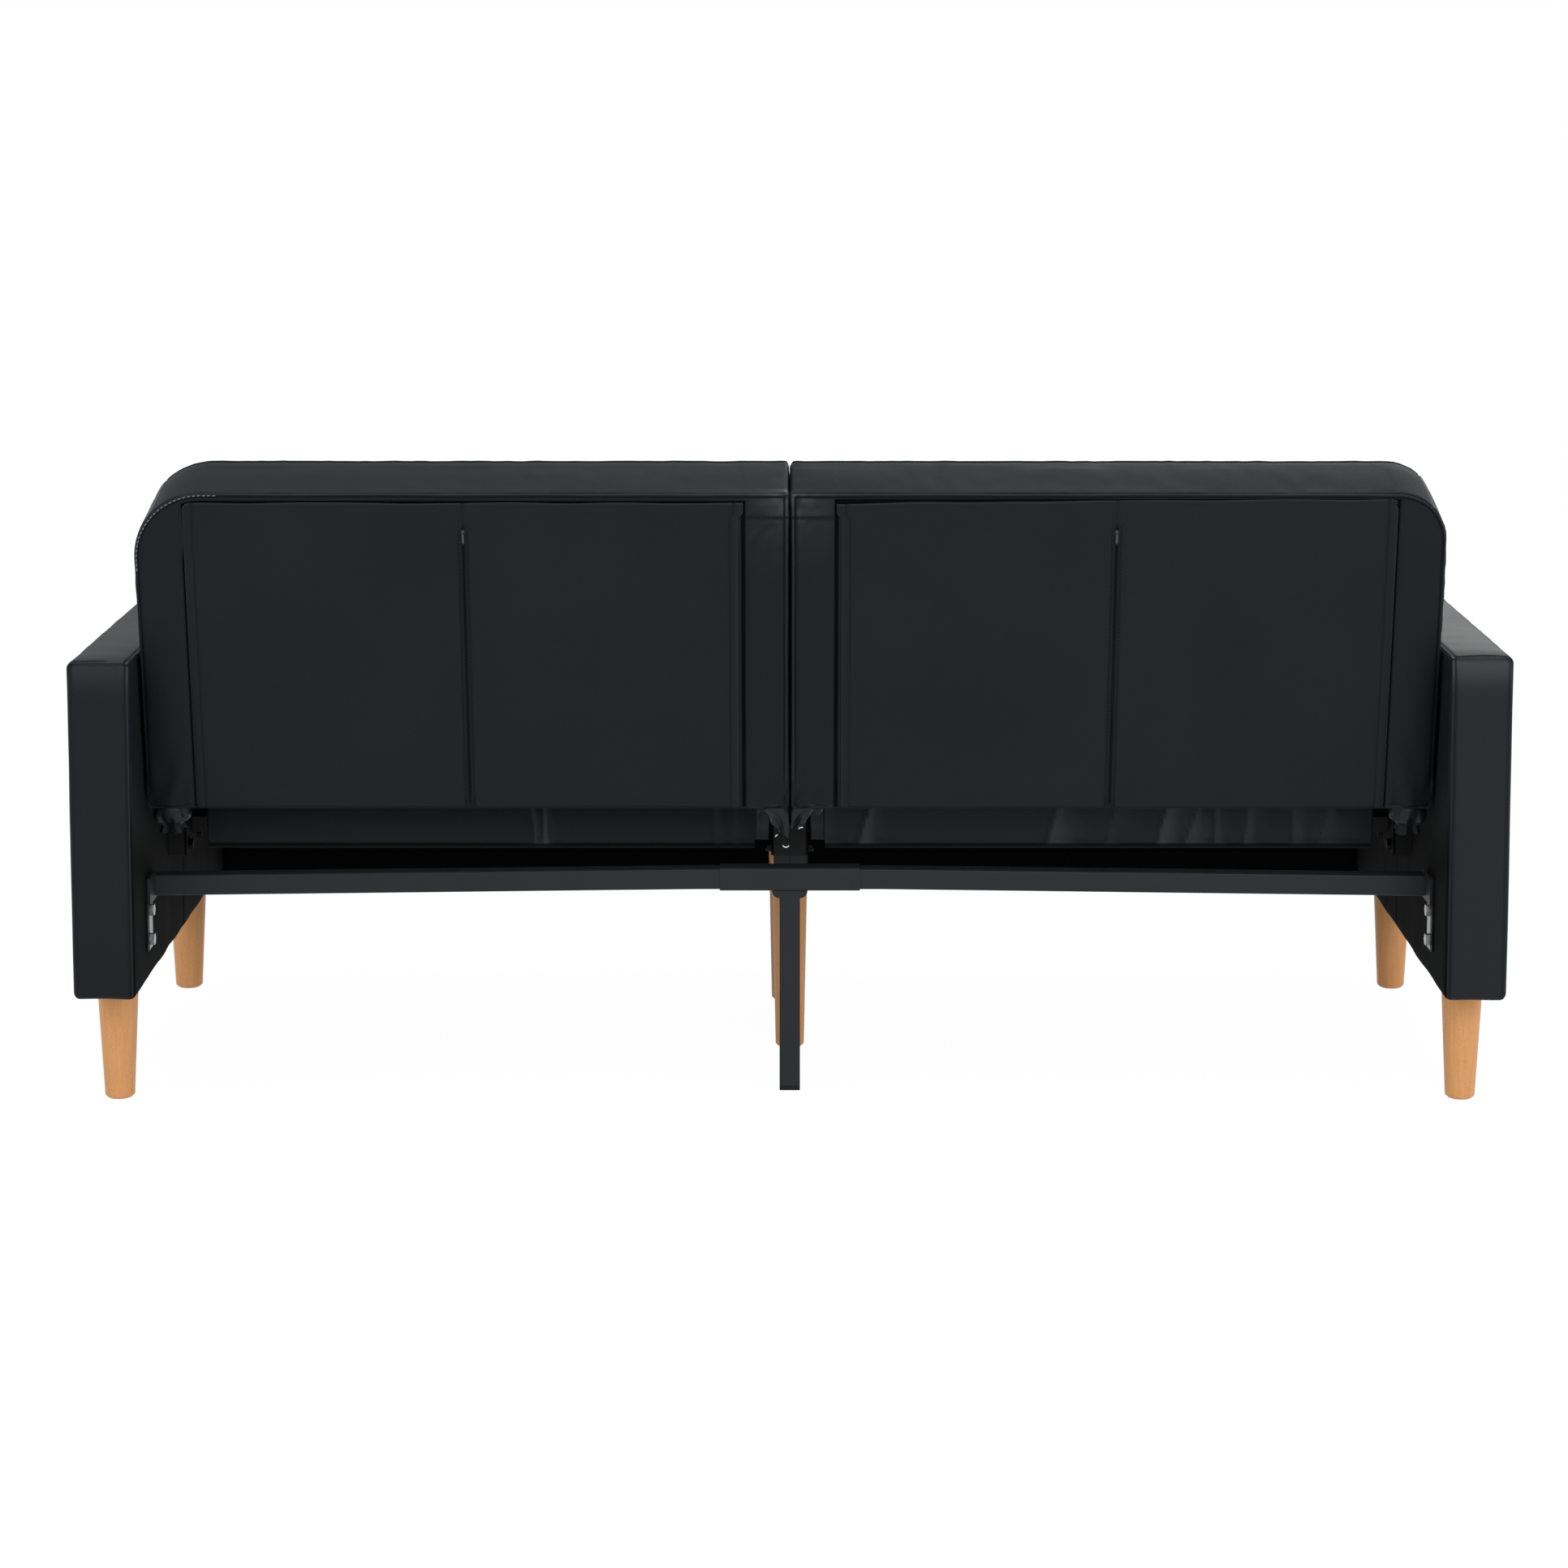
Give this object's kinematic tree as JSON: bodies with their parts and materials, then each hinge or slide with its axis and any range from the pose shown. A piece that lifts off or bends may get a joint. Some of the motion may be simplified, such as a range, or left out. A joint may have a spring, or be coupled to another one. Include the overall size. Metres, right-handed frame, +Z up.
{
  "type": "sofa bed",
  "caption": "Armed sofa bed with a split reclining back on ratchet hinges, padded vinyl cushions, turned wooden legs and a steel rear rail with its own leg.",
  "frame": {"origin": "on the floor under the middle of the sofa", "axes": "+X to the sitter's left along the sofa, -Y towards the front of the seat, +Z up"},
  "size_m": [1.7, 0.716, 0.7673],
  "materials": {
    "black_vinyl": "black grained faux leather with a soft sheen",
    "padded_vinyl": "foam pad in black grained faux leather",
    "beech": "clear satin lacquer",
    "core_wood": "raw sawn wood and board",
    "black_steel": "satin black powder coat",
    "zinc": "bright zinc plate",
    "black_plastic": "matt moulded",
    "webbing": "woven black tape",
    "zip_metal": "bright nickel"
  },
  "bodies": {
    "base": {"left_arm_cover": "black_vinyl", "right_arm_cover": "black_vinyl", "left_apron_cover": "black_vinyl", "right_apron_cover": "black_vinyl", "left_seat_cushion": "padded_vinyl", "right_seat_cushion": "padded_vinyl", "centre_front_leg": "beech", "centre_rear_leg": "beech", "left_front_leg": "beech", "right_front_leg": "beech", "left_rear_leg": "beech", "right_rear_leg": "beech", "left_arm_frame": "core_wood", "right_arm_frame": "core_wood", "left_arm_boards": "core_wood", "right_arm_boards": "core_wood", "left_apron_board": "core_wood", "right_apron_board": "core_wood", "left_seat_slats": "core_wood", "right_seat_slats": "core_wood", "centre_leg_plates": "black_steel", "rail_sleeve": "black_steel", "rear_centre_leg": "black_steel", "left_rear_rail": "black_steel", "right_rear_rail": "black_steel", "left_seat_frame": "black_steel", "right_seat_frame": "black_steel", "left_hinge_seat_arms": "black_steel", "right_hinge_seat_arms": "black_steel", "leg_hanger_bolts": "zinc", "threaded_inserts": "zinc", "bracket_screws": "zinc", "arm_bolts": "zinc", "seat_join_bolts": "zinc", "hinge_pivots": "zinc", "hinge_seat_bolts": "zinc", "left_rail_bracket": "zinc", "right_rail_bracket": "zinc", "steel_leg_foot": "black_plastic", "tube_end_caps": "black_plastic"},
    "left_back": {"left_hinge_back_arms": "black_steel", "left_hinge_back_bolts": "zinc", "left_back_frame": "core_wood", "left_back_webbing": "webbing", "left_back_cushion": "padded_vinyl", "left_corner_gathers": "black_vinyl", "left_back_panel": "black_vinyl", "left_zip_tape": "webbing"},
    "right_back": {"right_hinge_back_arms": "black_steel", "right_hinge_back_bolts": "zinc", "right_back_frame": "core_wood", "right_back_webbing": "webbing", "right_back_cushion": "padded_vinyl", "right_corner_gathers": "black_vinyl", "right_back_panel": "black_vinyl", "right_zip_tape": "webbing"},
    "left_zip": {"left_zip_slider": "zip_metal"},
    "right_zip": {"right_zip_slider": "zip_metal"}
  },
  "joints": [
    {"name": "left_back_recline", "type": "hinge", "parent": "base", "child": "left_back", "pos_m": [0, 0.168, 0.385], "axis": [-1, 0, 0], "range_deg": [-25, 79]},
    {"name": "right_back_recline", "type": "hinge", "parent": "base", "child": "right_back", "pos_m": [0, 0.168, 0.385], "axis": [-1, 0, 0], "range_deg": [-25, 79]},
    {"name": "left_zip_slide", "type": "slide", "parent": "left_back", "child": "left_zip", "axis": [0, -0.1908, -0.9816], "range_m": [0, 0.31]},
    {"name": "right_zip_slide", "type": "slide", "parent": "right_back", "child": "right_zip", "axis": [0, -0.1908, -0.9816], "range_m": [0, 0.31]}
  ]
}
